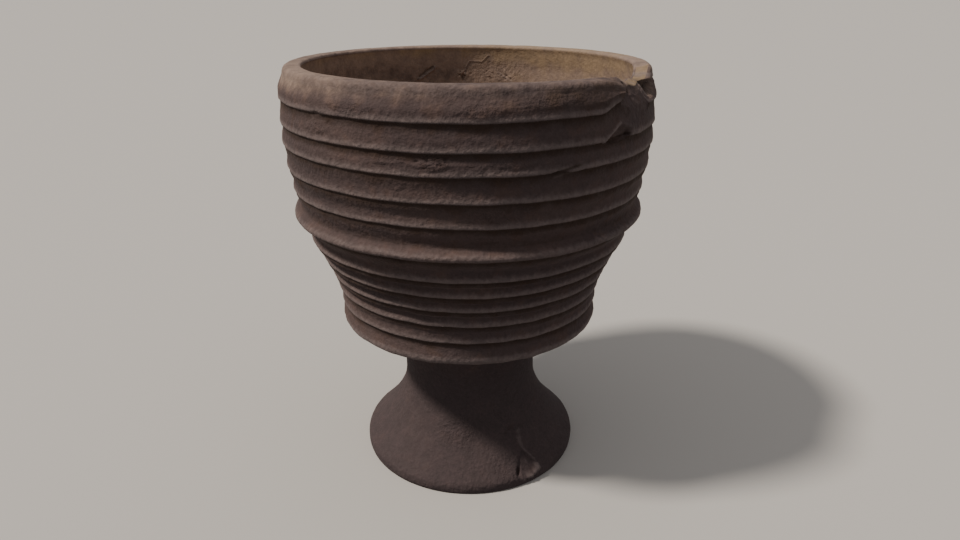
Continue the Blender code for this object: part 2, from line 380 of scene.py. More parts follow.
@dataclass
class TurnedSection:
    """The chalice's section, from the bowl's floor over the rim and down to the hollow of the foot."""
    neck_radius: float = 25.6
    neck_top: float = 47.0
    neck_fillet: float = 3.0
    foot_height: float = 31.0
    foot_radius: float = 42.4
    foot_edge_height: float = 4.4
    foot_edge_bulge: float = 0.9
    # Below its widest the foot's edge is drawn in faster than a round one
    foot_edge_power: float = 1.6
    flare_power: float = 1.75
    foot_wall: float = 7.8
    ring_inset: float = 3.0
    neck_wall: float = 7.5
    dome_share: float = 0.5
    underside_rise: float = 8.0
    bottom_radius: float = 48.0
    bottom_height: float = 59.8
    bottom_rounding: float = 1.8
    lips: tuple[Lip, ...] = (
        Lip(48.1, 66.7, 0.7), Lip(49.1, 73.1, 0.7), Lip(51.1, 79.3, 0.7), Lip(53.7, 85.4, 0.7),
        Lip(57.1, 92.0, 0.9), Lip(62.0, 101.0, 2.6), Lip(61.6, 110.5), Lip(63.0, 118.3), Lip(63.8, 126.3),
        Lip(63.8, 132.9), Lip(63.7, 140.8),
    )
    belly: int = 5
    wall: float = 6.3
    floor_height: float = 54.8
    floor_fillet: float = 6.0
    top: float = 150.0
    rim_radius: float = 61.7
    rim_across: float = 1.7
    rim_tall: float = 2.5
    rim_inner_rounding: float = 1.0
    # A lip's bead, the groove that the tool left under it and its fading shoulder
    # Its worn share paints the bead paler, partly a painted highlight; its dark share paints the groove, soil
    # with painted shade
    lip_profile: Profile = (
        (-0.10, -0.42, 3.0, 0.0, 0.0), (-0.07, -0.33, 2.2, 0.15, 0.0), (-0.03, -0.21, 1.4, 0.35, 0.0),
        (0.0, -0.09, 0.80, 0.6, 0.0), (0.03, 0.0, 0.35, 0.8, 0.0), (0.04, 0.0, 0.0, 0.85, 0.0),
        (-0.04, 0.0, -0.28, 0.6, 0.0), (-0.32, 0.0, -0.48, 0.15, 0.3), (-0.13, -1.0, -0.62, 0.0, 0.9),
        (-0.15, -1.0, -0.95, 0.0, 0.9), (-0.16, -1.0, -1.5, 0.0, 0.7), (-0.16, -1.0, -2.2, 0.0, 0.5),
    )
    # The belly's ledge: the wall drawn in above it, its thick rounded nose and the groove under it
    # The wall above the nose and the groove under it are painted darker as shade, and the nose paler, partly a
    # painted highlight
    belly_profile: Profile = (
        (-1.45, 0.0, 6.1, 0.0, 0.0), (-2.05, 0.0, 5.0, 0.0, 0.15), (-2.36, 0.0, 4.0, 0.0, 0.3),
        (-2.40, 0.0, 3.1, 0.0, 0.4), (-2.15, 0.0, 2.4, 0.0, 0.2), (-1.62, 0.0, 1.95, 0.1, 0.0),
        (-0.95, 0.0, 1.5, 0.3, 0.0), (-0.36, 0.0, 1.05, 0.5, 0.0), (-0.02, 0.0, 0.6, 0.6, 0.0),
        (0.10, 0.0, 0.1, 0.6, 0.0), (0.02, 0.0, -0.4, 0.6, 0.0), (-0.30, 0.0, -0.85, 0.4, 0.0),
        (-0.95, 0.0, -1.2, 0.2, 0.3), (-2.1, 0.0, -1.45, 0.0, 0.8), (-2.7, 0.0, -1.95, 0.0, 0.95),
        (-2.8, 0.0, -2.8, 0.0, 0.7),
    )
    # The rolled edge at the bottom of the bowl
    # The roll is painted paler, partly a painted highlight
    bottom_profile: Profile = (
        (-0.45, 0.0, 3.0, 0.0, 0.0), (-0.30, 0.0, 2.3, 0.1, 0.0), (-0.06, 0.0, 1.6, 0.3, 0.0),
        (0.14, 0.0, 1.0, 0.6, 0.0), (0.22, 0.0, 0.3, 0.8, 0.0), (0.14, 0.0, -0.4, 0.8, 0.0),
        (-0.14, 0.0, -0.95, 0.7, 0.0), (-0.62, 0.0, -1.4, 0.45, 0.0), (-1.3, 0.0, -1.65, 0.2, 0.0),
    )
    # The wall between two edges is a shallow cove; painted shade with soil darkens this share of it from its top
    cove: float = 0.05
    painted_shade_share: float = 0.8
    # Where the bowl's underside starts, in and down from the bottom edge, and ends, in times the neck's fillet
    underside_start: Span = (2.4, 1.9)
    underside_end: Span = (0.66, 0.94)
    # How worn the other parts are, partly a painted highlight, and how much darker they are painted
    rim_inner_worn: float = 0.5
    rim_worn: float = 0.4
    foot_edge_worn_and_highlight: float = 0.15
    ring_worn: Span = (0.4, 0.5)
    # Under the bowl and on the neck the darkening is painted shade
    underside_painted_shade: float = 0.3
    neck_painted_shade: float = 0.4
    hollow_darkening: float = 0.3
    dome_darkening: float = 0.5
    # How finely each part is drawn, the bowl's inside more finely from a height on
    fine: float = 0.9
    inside_coarse: float = 4.0
    inside_fine: float = 1.6
    inside_fine_from: float = 122.0
    rim_clear: float = 0.4
    floor_radii: tuple[float, ...] = (0.0, 3.0, 7.0, 11.0, 15.0)
    dish_shares: tuple[float, ...] = (0.0, 0.34, 0.67)
    dish_past: float = 2.0
    fillet_shares: tuple[float, ...] = (0.0, 0.25, 0.5, 0.75, 1.0)
    rim_inner_angles: tuple[float, ...] = (180.0, 150.0, 120.0, 90.0)
    rim_shares: tuple[float, ...] = (0.25, 0.5, 0.75)
    rim_outer_angles: tuple[float, ...] = (90.0, 72.0, 54.0, 36.0, 18.0, 0.0)
    underside_steps: int = 8
    neck_angles: tuple[float, ...] = (110.0, 127.0, 145.0, 162.0, 180.0)
    neck_spacing: float = 1.5
    neck_clear: float = 0.5
    flare_steps: int = 26
    foot_edge_angles: tuple[float, ...] = (60.0, 35.0, 10.0, -20.0, -50.0, -75.0, -90.0)
    hollow_steps: int = 10
    dome_angles: tuple[float, ...] = (0.0, 18.0, 36.0, 54.0, 72.0)

    def inside(self) -> list[Row]:
        """Draw the bowl's inside.

        Returns:
            Its rows, from the floor's middle up to the rim.
        """
        inner = self.neck_radius - self.neck_wall
        wall_foot = self.bottom_radius - self.bottom_rounding - self.wall
        fillet = self.floor_fillet
        slope = self.underside_rise / (self.bottom_radius - self.neck_radius)
        dish = wall_foot - fillet - inner + self.dish_past
        centre = (wall_foot - fillet, self.floor_height + slope * (wall_foot - inner) + fillet)
        lean = math.degrees(math.atan(slope))
        angles = tuple((lean - 90.0) * (1.0 - share) for share in self.fillet_shares)
        places = [(radius, self.floor_height) for radius in self.floor_radii]
        dished = [dish * share for share in self.dish_shares]
        places += [(inner + out, self.floor_height + slope * out) for out in dished]
        places += arc(centre, fillet, fillet, angles)
        heights = [centre[1]] + [lip.height for lip in self.lips[1:]] + [self.top]
        radii = [wall_foot] + [lip.radius - lip.step - self.wall for lip in self.lips[1:]]
        radii.append(self.rim_radius - self.wall)
        height = centre[1] + self.inside_coarse
        while height < self.top - self.rim_inner_rounding - self.rim_clear:
            places.append((float(np.interp(height, heights, radii)), height))
            height += self.inside_coarse if height < self.inside_fine_from else self.inside_fine
        return [Row(radius, height, Side.INSIDE) for radius, height in places]

    def rim(self) -> list[Row]:
        """Draw the rim.

        Returns:
            Its rows, from its tight inner rounding over its flat top to its soft outer one.
        """
        rounding = self.rim_inner_rounding
        inner = self.rim_radius - self.wall + rounding
        outer = self.rim_radius - self.rim_across
        start = arc((inner, self.top - rounding), rounding, rounding, self.rim_inner_angles)
        places = [(inner + (outer - inner) * share, self.top) for share in self.rim_shares]
        places += arc((outer, self.top - self.rim_tall), self.rim_across, self.rim_tall, self.rim_outer_angles)
        rows = [Row(radius, height, Side.RIM, self.rim_inner_worn) for radius, height in start]
        return rows + [Row(radius, height, Side.RIM, self.rim_worn) for radius, height in places]

    def edge(self, profile: Profile, radius: float, height: float, step: float = 0.0) -> list[Row]:
        """Rows of an edge from the top down: its profile, set where it stands on the outer side."""
        return [Row(radius + out + by_step * step, height + up, Side.OUTSIDE, worn_and_highlight, dark)
                for out, by_step, up, worn_and_highlight, dark in profile]

    def band(self, start: Row, end: Row) -> list[Row]:
        """Draw the shallow cove between two edges, painted darkest at its top: painted shade under the lip, with
        dirt.

        Args:
            start: The row above it.
            end: The row below it.

        Returns:
            The rows between them.
        """
        count = max(2, round((start.height - end.height) / self.fine))
        rows = []
        for step in range(1, count):
            share = step / count
            across = start.radius + (end.radius - start.radius) * share - self.cove * math.sin(math.pi * share)
            height = start.height + (end.height - start.height) * share
            dark = start.hollow * max(0.0, 1.0 - share / self.painted_shade_share)
            rows.append(Row(across, height, Side.OUTSIDE, 0.0, dark))
        return rows

    def bowl_side(self) -> list[Row]:
        """Draw the bowl's outer side.

        Returns:
            Its rows, from under the rim to the rolled bottom edge.
        """
        edges = [self.edge(self.bottom_profile, self.bottom_radius, self.bottom_height)]
        for index, lip in enumerate(self.lips):
            profile = self.belly_profile if index == self.belly else self.lip_profile
            edges.append(self.edge(profile, lip.radius, lip.height, lip.step))
        rows = []
        last = self.rim()[-1]
        for edge in reversed(edges):
            rows += self.band(last, edge[0]) + edge
            last = edge[-1]
        return rows

    def flare(self, share: float) -> Span:
        """Find a place on the foot's flare.

        Args:
            share: How far along it is, from 0 at the neck to 1 at the foot's edge.

        Returns:
            Its radius and height.
        """
        edge = math.radians(self.foot_edge_angles[0])
        edge_radius = self.foot_radius - self.foot_edge_bulge * (1.0 - math.cos(edge))
        edge_height = self.foot_edge_height / 2 * (1.0 + math.sin(edge))
        radius = self.neck_radius + (edge_radius - self.neck_radius) * share ** self.flare_power
        return radius, self.foot_height - (self.foot_height - edge_height) * share

    def foot(self) -> list[Row]:
        """Draw the bowl's underside, the neck and the flared foot.

        Returns:
            Their rows, from the bowl's bottom edge down to the standing ring.
        """
        neck, fillet = self.neck_radius, self.neck_fillet
        start = (self.bottom_radius - self.underside_start[0], self.bottom_height - self.underside_start[1])
        end = (neck + fillet * self.underside_end[0], self.neck_top + fillet * self.underside_end[1])
        rows = []
        for step in range(self.underside_steps):
            share = step / self.underside_steps
            radius = start[0] + (end[0] - start[0]) * share
            height = start[1] + (end[1] - start[1]) * share
            rows.append(Row(radius, height, Side.OUTSIDE, 0.0, self.underside_painted_shade * share))
        for radius, height in arc((neck + fillet, self.neck_top), fillet, fillet, self.neck_angles):
            rows.append(Row(radius, height, Side.OUTSIDE, 0.0, self.neck_painted_shade))
        height = self.neck_top - self.neck_spacing
        while height > self.foot_height + self.neck_clear:
            rows.append(Row(neck, height, Side.OUTSIDE))
            height -= self.neck_spacing
        for step in range(self.flare_steps):
            radius, height = self.flare(step / self.flare_steps)
            rows.append(Row(radius, height, Side.OUTSIDE))
        for angle in self.foot_edge_angles:
            turn = math.radians(angle)
            radius = self.foot_radius - self.foot_edge_bulge * (1.0 - math.cos(turn))
            above, below = max(math.sin(turn), 0.0), min(math.sin(turn), 0.0)
            height = self.foot_edge_height / 2 * (above + (1.0 + below) ** self.foot_edge_power)
            rows.append(Row(radius, height, Side.OUTSIDE, self.foot_edge_worn_and_highlight))
        return rows

    def hollow(self) -> list[Row]:
        """Draw the standing ring and the hollow of the foot.

        Returns:
            Their rows, up to the hollow's domed top on the axis.
        """
        inner = self.neck_radius - self.neck_wall
        ring = (self.foot_radius - self.foot_edge_bulge - self.ring_inset, self.foot_radius - self.foot_wall)
        rows = [Row(radius, 0.0, Side.UNDER, worn_and_highlight) for radius, worn_and_highlight in zip(ring, self.ring_worn)]
        for step in range(1, self.hollow_steps):
            share = 1.0 - step / self.hollow_steps
            radius, height = self.flare(share)
            wall = self.neck_wall + (self.foot_wall - self.neck_wall) * share
            rows.append(Row(max(radius - wall, inner), height, Side.UNDER, 0.0, self.hollow_darkening))
        dome = inner * self.dome_share
        places = arc((0.0, self.neck_top - dome), inner, dome, self.dome_angles) + ((0.0, self.neck_top),)
        return rows + [Row(radius, height, Side.UNDER, 0.0, self.dome_darkening) for radius, height in places]

    def rows(self) -> list[Row]:
        """The whole section, from the bowl's floor to the hollow of the foot."""
        return self.inside() + self.rim() + self.bowl_side() + self.foot() + self.hollow()

    def skin(self) -> tuple[np.ndarray, np.ndarray]:
        """Find the outer side without its grooves.

        Returns:
            Heights from low to high, and the radius at each.
        """
        outer = [(row.height, row.radius) for row in self.foot()]
        outer += [(self.bottom_height, self.bottom_radius)] + [(lip.height, lip.radius) for lip in self.lips]
        outer += [(row.height, row.radius) for row in self.rim()
                  if row.height < self.top and row.radius > self.rim_radius - self.rim_across]
        heights, radii = zip(*sorted(outer))
        return np.array(heights), np.array(radii)


class Surface:
    """The clay's surface as it is worked: where each of its points is, and what has happened to it there."""

    def __init__(self, section: TurnedSection, wear: Wear, points: np.ndarray) -> None:
        """Find each point's place on the section.

        Args:
            section: The section that the piece was turned from.
            wear: How uneven and how rubbed the clay is.
            points: The turned piece's points in millimetres, one a row.
        """
        rows = section.rows()
        self.section = section
        self.wear = wear
        self.radius = np.hypot(points[:, 0], points[:, 1])
        self.height = points[:, 2].copy()
        self.azimuth = np.degrees(np.arctan2(points[:, 0], -points[:, 1]))
        self.base_radius = self.radius.copy()
        self.base_height = self.height.copy()
        tree = KDTree(len(rows))
        for index, row in enumerate(rows):
            tree.insert((row.radius, row.height, 0.0), index)
        tree.balance()
        pairs = zip(self.radius.tolist(), self.height.tolist())
        nearest = np.array([tree.find((radius, height, 0.0))[1] for radius, height in pairs])
        radii = np.array([row.radius for row in rows])
        heights = np.array([row.height for row in rows])
        place = self.along(nearest, radii, heights)
        order = np.arange(len(rows))
        self.side = np.array([row.side.value for row in rows])[nearest]
        self.marks = {name: np.zeros(len(nearest)) for name in MARKS}
        self.marks["worn_and_highlight"] = np.interp(place, order, [row.worn_and_highlight for row in rows])
        self.marks["hollow"] = np.interp(place, order, [row.hollow for row in rows])
        slope = np.stack([np.gradient(radii), np.gradient(heights)], axis=1)
        slope /= np.maximum(np.linalg.norm(slope, axis=1), TINY)[:, None]
        self.facing = np.stack([-slope[:, 1], slope[:, 0]], axis=1)[nearest]

    def along(self, nearest: np.ndarray, radii: np.ndarray, heights: np.ndarray) -> np.ndarray:
        """Find how far along the section each point is, in rows and parts of a row.

        Args:
            nearest: The row nearest to each point.
            radii: The rows' radii.
            heights: The rows' heights.

        Returns:
            The place of each point.
        """
        best = np.full(len(nearest), FAR)
        place = nearest.astype(float)
        for shift in (-1, 0):
            first = np.clip(nearest + shift, 0, len(radii) - 2)
            run, rise = radii[first + 1] - radii[first], heights[first + 1] - heights[first]
            length = np.maximum(run ** 2 + rise ** 2, TINY)
            out, up = self.radius - radii[first], self.height - heights[first]
            share = np.clip((out * run + up * rise) / length, 0.0, 1.0)
            apart = np.hypot(out - share * run, up - share * rise)
            closer = apart < best
            place = np.where(closer, first + share, place)
            best = np.where(closer, apart, best)
        return place

    def points(self) -> np.ndarray:
        """Where the points are now, in millimetres."""
        turn = np.radians(self.azimuth)
        return np.stack([self.radius * np.sin(turn), -self.radius * np.cos(turn), self.height], axis=1)

    def on_ring(self, radius: float, stretch: float) -> np.ndarray:
        """Where the points would be on a ring, for unevenness that runs right through the wall."""
        turn = np.radians(self.azimuth)
        return np.stack([radius * np.sin(turn), -radius * np.cos(turn), stretch * self.height], axis=1)

    def push(self, amount: np.ndarray) -> None:
        """Move the points along the way that the clay faces.

        Args:
            amount: How far outwards from the clay each one goes, inwards where it is negative.
        """
        off_axis = np.clip(self.radius / self.wear.axis_within, 0.0, 1.0)
        self.radius = np.maximum(self.radius + amount * self.facing[:, 0] * off_axis, 0.0)
        self.height = self.height + amount * self.facing[:, 1]

    def of_side(self, side: Side) -> np.ndarray:
        """Which points a mark on a side may touch: the rim goes with the outer side."""
        with_rim = side is Side.OUTSIDE
        return (self.side == side.value) | (with_rim & (self.side == Side.RIM.value))

    def mark(self, name: str, amount: np.ndarray) -> None:
        """Raise a mark to an amount wherever it is less."""
        self.marks[name] = np.maximum(self.marks[name], amount)

    def fade(self, name: str, share: np.ndarray) -> None:
        """Take a share of a mark away."""
        self.marks[name] = self.marks[name] * (1.0 - share)

    def wobble(self) -> None:
        """Make the vessel uneven, as thrown by hand: not quite round, its lips wandering and rubbed."""
        wear = self.wear
        through = self.on_ring(wear.wander_radius, 1.0)
        share = np.clip(self.radius / wear.round_within, 0.0, 1.0)
        self.radius = self.radius + share * wear.out_of_round.over(through)
        free = smooth(*wear.level_foot, self.height) * (1.0 - smooth(*wear.level_rim, self.height))
        along_lip = self.on_ring(wear.lip_radius, wear.lip_stretch)
        self.height = self.height + free * (wear.wander.over(through) + wear.lip_wander.over(along_lip))
        rubbed = np.clip(wear.rubbing.over(self.points()) + wear.rubbed_everywhere, 0.0, 1.0)
        outside = self.side == Side.OUTSIDE.value
        self.radius = self.radius - outside * wear.rubbed_off * self.marks["worn_and_highlight"] * rubbed

    def curl(self, curl: Curl) -> None:
        """Bend a stretch of a lip upwards, with the wall below and above it.

        Args:
            curl: The stretch.
        """
        start, end = curl.azimuths
        past = 1.0 - smooth(end + curl.fade[0], end + curl.fade[1], self.azimuth)
        below = smooth(curl.height - curl.below, curl.height - curl.lip, self.height)
        above = 1.0 - smooth(curl.height + curl.lip, curl.height + curl.above, self.height)
        share = smooth(start, end, self.azimuth) * past * below * above * self.of_side(Side.OUTSIDE)
        self.height = self.height + curl.rise * share
        self.radius = self.radius - curl.flattened * share
        self.fade("worn_and_highlight", smooth(end - curl.sharp, end, self.azimuth) * share)

    def break_rim(self, inner: Line, outer: Line) -> None:
        """Lower the rim where it is rubbed down, and break the notch out of it.

        Args:
            inner: Azimuths and heights of the rim's edge on the inner side.
            outer: The same on the outer side.
        """
        wear, top = self.wear, self.section.top
        flat_start = self.section.rim_radius - self.section.wall + self.section.rim_inner_rounding
        flat_end = self.section.rim_radius - self.section.rim_across
        left = [np.interp(self.azimuth, *zip(*edge)) for edge in (inner, outer)]
        gap = smooth(*wear.lost, top - np.minimum(*left))
        # The same on both edges, so that the break never folds over itself
        uneven = gap * heaped(wear.break_lumps, self.on_ring(flat_end, 0.0))
        lost_in, lost_out = [top - np.minimum(height + uneven, top) for height in left]
        rim = self.side == Side.RIM.value
        inner_side = (self.side == Side.INSIDE.value) | (rim & (self.base_radius < flat_start - wear.hair))
        outer_side = (self.side == Side.OUTSIDE.value) | (rim & (self.base_radius > flat_end + wear.hair))
        crest = rim & ~inner_side & ~outer_side
        low_in, low_out = wear.sink_inside, wear.sink_outside
        sink_in = lost_in * np.clip((self.base_height - low_in) / (top - low_in), 0.0, 1.0)
        sink_out = lost_out * np.clip((self.base_height - low_out) / (top - low_out), 0.0, 1.0)
        share = np.clip((self.base_radius - flat_start) / (flat_end - flat_start), 0.0, 1.0)
        sink_top = lost_in * (1.0 - share) + lost_out * share
        sink = np.select([inner_side, outer_side, crest], [sink_in, sink_out, sink_top], 0.0)
        self.height = self.height - sink
        bare = gap * crest * smooth(*wear.bare, self.azimuth)
        self.mark("broken", bare)
        # The bare break is painted darker
        self.mark("hollow", wear.bare_darkening * bare)
        self.fade("worn_and_highlight", gap * (rim & (self.base_height > top - wear.edge_tall)))

    def offsets(self, azimuth: float, height: float, tilt: float) -> tuple[np.ndarray, np.ndarray]:
        """Find how far each point is from a place on the wall.

        Args:
            azimuth: The place's azimuth.
            height: Its height.
            tilt: How far the frame in which it is measured is turned, in degrees.

        Returns:
            How far each point is along the wall, and how far up it.
        """
        across = np.radians(around(self.azimuth, azimuth)) * self.radius
        up = self.height - height
        turn = math.radians(tilt)
        return across * math.cos(turn) - up * math.sin(turn), across * math.sin(turn) + up * math.cos(turn)

    def within(self, outline: Line) -> np.ndarray:
        """Find how far inside an outline on the wall each point is.

        Args:
            outline: The outline's corners, as azimuths and heights.

        Returns:
            Millimetres from its edge, negative outside it.
        """
        middle, level = (sum(values) / len(outline) for values in zip(*outline))
        heights, radii = self.section.skin()
        wall = float(np.interp(level, heights, radii))
        across = np.radians(around(self.azimuth, middle)) * wall
        corners = [(math.radians(azimuth - middle) * wall, height) for azimuth, height in outline]
        best = np.full(len(across), FAR)
        inside = np.zeros(len(across), dtype=bool)
        for (x0, z0), (x1, z1) in zip(corners, corners[1:] + corners[:1]):
            run, rise = x1 - x0, z1 - z0
            out, up = across - x0, self.height - z0
            share = np.clip((out * run + up * rise) / (run ** 2 + rise ** 2), 0.0, 1.0)
            best = np.minimum(best, np.hypot(out - share * run, up - share * rise))
            if abs(rise) > TINY:
                spans = (z0 > self.height) != (z1 > self.height)
                inside ^= spans & (out < run * up / rise)
        return np.where(inside, best, -best)

    def scar(self, scar: Scar) -> None:
        """Take the clay of a scar off the outer side, down to a face that follows the wall without its ridges.

        Args:
            scar: The scar.
        """
        wear = self.wear
        depth_in = self.within(scar.outline) + scar.ragged * wear.scar_outline.over(self.points())
        middle = sum(height for _, height in scar.outline) / len(scar.outline)
        depth = np.maximum(scar.depth + scar.lean * (self.height - middle), wear.scar_least)
        rough = scar.rough * heaped(wear.scar_face, self.points()) * smooth(0.0, wear.scar_start, depth_in)
        face = np.interp(self.height, *self.section.skin()) - depth * smooth(0.0, scar.edge, depth_in) - rough
        outer = self.of_side(Side.OUTSIDE)
        hit = outer & (depth_in > 0.0) & (self.radius > face)
        taken = smooth(*wear.scar_taken, self.radius - face) * hit
        self.radius = np.where(hit, face, self.radius)
        off_rim = hit & (self.side == Side.RIM.value)
        self.facing = np.where(off_rim[:, None], np.array([1.0, 0.0]), self.facing)
        self.mark("broken", (1.0 - scar.old) * taken)
        self.fade("worn_and_highlight", taken)
        self.fade("hollow", taken)
        stained = outer * smooth(*wear.scar_stain, depth_in)
        self.mark("smoked", scar.smoked * stained)
        self.mark("stained", scar.earthy * stained)
        # Its deep part is painted darker, soil with painted shade, and its arris paler, a painted highlight
        sheltered = outer * smooth(wear.scar_start, wear.scar_start + scar.edge, depth_in)
        self.mark("hollow", scar.painted_dark * sheltered)
        arris = outer * np.exp(-((depth_in + wear.arris_out) / wear.arris_width) ** 2)
        self.mark("worn_and_highlight", scar.arris * arris)

    def dent(self, dent: Dent) -> None:
        """Press one dent or pit into the surface, or raise a lump on it.

        Args:
            dent: The dent.
        """
        across, up = self.offsets(dent.azimuth, dent.height, dent.tilt)
        away = np.hypot(across / (dent.width / 2), up / (dent.tall / 2))
        share = (1.0 - smooth(dent.edge, 1.0, away)) * self.of_side(dent.side)
        self.push(-dent.depth * share)
        # A pit is painted darker, soil with painted shade, and a lump paler, partly a painted highlight
        name = "pitted" if dent.depth > 0.0 else "worn_and_highlight"
        self.mark(name, share * min(1.0, abs(dent.depth) * self.wear.dent_mark))

    def groove(self, groove: Groove) -> None:
        """Cut one crack or gouge along its line, with a burr of clay beside it.

        Args:
            groove: The crack, gouge or arris.
        """
        wear = self.wear
        best = np.full(len(self.radius), FAR)
        below = np.zeros(len(self.radius))
        for (a0, z0), (a1, z1) in zip(groove.line, groove.line[1:]):
            across, up = self.offsets(a0, z0, 0.0)
            wall = float(np.median(self.radius[np.abs(up) < wear.groove_band]))
            run, rise = math.radians(around(a1, a0)) * wall, z1 - z0
            length = math.hypot(run, rise)
            share = np.clip((across * run + up * rise) / length ** 2, 0.0, 1.0)
            apart = np.hypot(across - share * run, up - share * rise)
            closer = apart < best
            below = np.where(closer, (across * rise - up * run) / length, below)
            best = np.where(closer, apart, best)
        side = self.of_side(groove.side)
        cut = np.exp(-(best / groove.width) ** 2) * side
        lift = np.exp(-((best - wear.burr_away * groove.width) / groove.width) ** 2) * (below > 0.0) * side
        lift = lift * (1.0 - cut)
        self.push(-groove.depth * cut + groove.burr * lift)
        # A crack is painted darker, soil with painted shade, and an arris and a burr paler, with a painted
        # highlight
        self.mark("hollow" if groove.depth > 0.0 else "worn_and_highlight", groove.shown * cut)
        self.mark("worn_and_highlight", wear.burr_highlight * lift * (groove.burr > 0.0))

    def pit(self, patch: PitPatch) -> None:
        """Scatter the small pits and lumps of a patch, and mark it as scuffed.

        Args:
            patch: The patch.
        """
        draw = random.Random(patch.seed)
        wall = float(np.interp(patch.height, *self.section.skin()))
        across, up = self.offsets(patch.azimuth, patch.height, 0.0)
        away = np.hypot(across / (patch.reach[0] * patch.width), up / (patch.reach[1] * patch.tall))
        blot = (1.0 - smooth(patch.core, 1.0, away)) * self.of_side(patch.side)
        self.mark("scuffed", blot * min(1.0, patch.scuffing * patch.depth))
        for _ in range(patch.count):
            azimuth = patch.azimuth + math.degrees(draw.gauss(0.0, patch.spread) * patch.width / wall)
            height = patch.height + draw.uniform(-0.5, 0.5) * patch.tall
            size = patch.largest * draw.uniform(*patch.sizes)
            depth = patch.depth * draw.uniform(*patch.depths)
            if draw.random() < patch.raised:
                depth *= patch.lump
            tilt = draw.uniform(-patch.turn, patch.turn)
            self.dent(Dent(azimuth, height, size * patch.long, size, depth, tilt, patch.edge, patch.side))

    def roughen(self) -> None:
        """Give the clay its own unevenness, and keep it inside the object's measured size."""
        self.push(smooth(*self.wear.standing, self.height) * heaped(self.wear.skin, self.points()))
        self.radius = np.minimum(self.radius, self.wear.widest)
        self.height = np.clip(self.height, 0.0, self.wear.tallest)

    def stain(self) -> None:
        """Stain the clay: ochre earth on the rim and inside, painted shade at its front right, smoke on the
        foot.
        """
        wear = self.wear
        inside, rim = self.side == Side.INSIDE.value, self.side == Side.RIM.value
        band = (self.side == Side.OUTSIDE.value) & (self.height > wear.rim_band[0])
        on_rim = np.full(len(self.height), wear.earth_on_rim)
        # The ochre inside, most high up, and on the rim at the back is partly painted light
        in_bowl = wear.earth_and_light_inside + wear.painted_light_under_rim * smooth(*wear.under_rim, self.height)
        for earth in wear.earth:
            near = 1.0 - smooth(earth.near, earth.far, np.abs(around(self.azimuth, earth.azimuth)))
            on_rim = on_rim + earth.on_rim * near
            in_bowl = in_bowl + earth.inside * near
        on_rim = np.minimum(on_rim, 1.0)
        on_band = on_rim * smooth(*wear.rim_band, self.height)
        value = np.select([inside, rim, band], [in_bowl, on_rim, on_band], 0.0)
        value = value * (wear.earth_mean + wear.earth_cloud.over(self.points()))
        self.mark("stained", np.maximum(value, wear.earth_on_break * self.marks["broken"] * rim))
        # Painted shade darkens the rim and its band at the front right
        front = np.exp(-(around(self.azimuth, wear.painted_shade_azimuth) / wear.painted_shade_width) ** 2)
        painted_dark = front * smooth(*wear.painted_shade_foot, self.height) * (1.0 - smooth(*wear.painted_shade_top, self.height))
        self.mark("hollow", wear.painted_shade_strength * painted_dark * (band | rim))
        self.mark("smoked", 1.0 - smooth(*wear.smoke, self.height))


